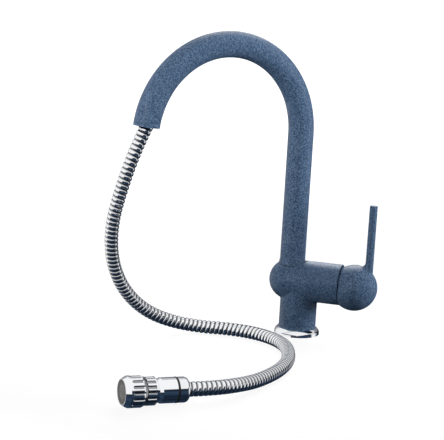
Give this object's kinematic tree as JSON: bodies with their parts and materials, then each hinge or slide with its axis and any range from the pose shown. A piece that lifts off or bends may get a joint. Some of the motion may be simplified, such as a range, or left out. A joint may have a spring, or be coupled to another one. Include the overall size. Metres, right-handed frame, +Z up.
{
  "type": "mixer tap",
  "caption": "Single-lever kitchen mixer tap with a side ball handle on a horizontal arm, a tall swivelling arched spout and a pull-out spray head on a ribbed hose.",
  "frame": {"origin": "centre of the base ring on the deck, on the column's axis", "axes": "+Z up, +X along the arm towards the lever, -Y towards the user"},
  "size_m": [0.2674, 0.382, 0.3346],
  "materials": {
    "blue_speckle": "satin speckled blue coating",
    "chrome": "polished chrome",
    "hose_chrome": "chromed ribbed metal wrap",
    "black_rubber": "matte",
    "black_nylon": "matte",
    "brass": "turned",
    "steel": "turned",
    "white_plastic": "moulded",
    "disc_ceramic": "ground",
    "dark_plastic": "moulded"
  },
  "bodies": {
    "tap_body": {"base_ring": "chrome", "base_gasket": "black_rubber", "mixer_body": "blue_speckle", "stop_screw": "steel", "swivel_washer": "black_nylon", "cartridge_housing": "white_plastic", "inlet_seals": "black_rubber", "chamber_seal": "black_rubber", "cartridge_nut": "brass", "fixed_disc": "disc_ceramic"},
    "spout": {"spout_tube": "blue_speckle", "spout_spigot": "brass", "spigot_rings": "black_rubber", "hose_guide": "black_nylon", "hose_in_spout": "hose_chrome", "hose_coupling": "brass", "spray_hose": "hose_chrome", "hose_tail": "brass", "hose_nut": "chrome", "check_valve": "white_plastic", "dock_seal": "black_rubber", "spray_body": "chrome"},
    "lever_turret": {"cartridge_carrier": "white_plastic", "stem_pin": "steel"},
    "lever": {"lever_handle": "blue_speckle", "lever_stem": "steel", "lever_grub_screw": "steel", "lever_plug": "black_nylon"},
    "valve_slider": {"moving_disc": "disc_ceramic", "disc_driver": "white_plastic"},
    "spray_selector": {"jet_ring": "chrome", "spray_face": "dark_plastic", "aerator": "dark_plastic"}
  },
  "joints": [
    {"name": "spout_swivel", "type": "hinge", "parent": "tap_body", "child": "spout", "pos_m": [-0.01, 0, 0.0777], "axis": [0, 0, 1], "range_deg": [-27.4, 112.6]},
    {"name": "lever_turn", "type": "hinge", "parent": "tap_body", "child": "lever_turret", "pos_m": [0.0615, 0, 0.0586], "axis": [1, 0, 0], "range_deg": [-45, 45]},
    {"name": "lever_lift", "type": "hinge", "parent": "lever_turret", "child": "lever", "pos_m": [0.0615, 0, 0.0586], "axis": [0, 1, 0], "range_deg": [0, 20]},
    {"name": "disc_slide", "type": "slide", "parent": "lever_turret", "child": "valve_slider", "axis": [0, 0, 1], "range_m": [0, 0.00411]},
    {"name": "jet_turn", "type": "hinge", "parent": "spout", "child": "spray_selector", "pos_m": [-0.08525, -0.34676, 0.01569], "axis": [-0.7824, -0.6223, 0.0244], "range_deg": [0, 45]}
  ],
  "couplings": [
    {"joint": "disc_slide", "follows": "lever_lift", "m_per_rad": 0.011758}
  ]
}
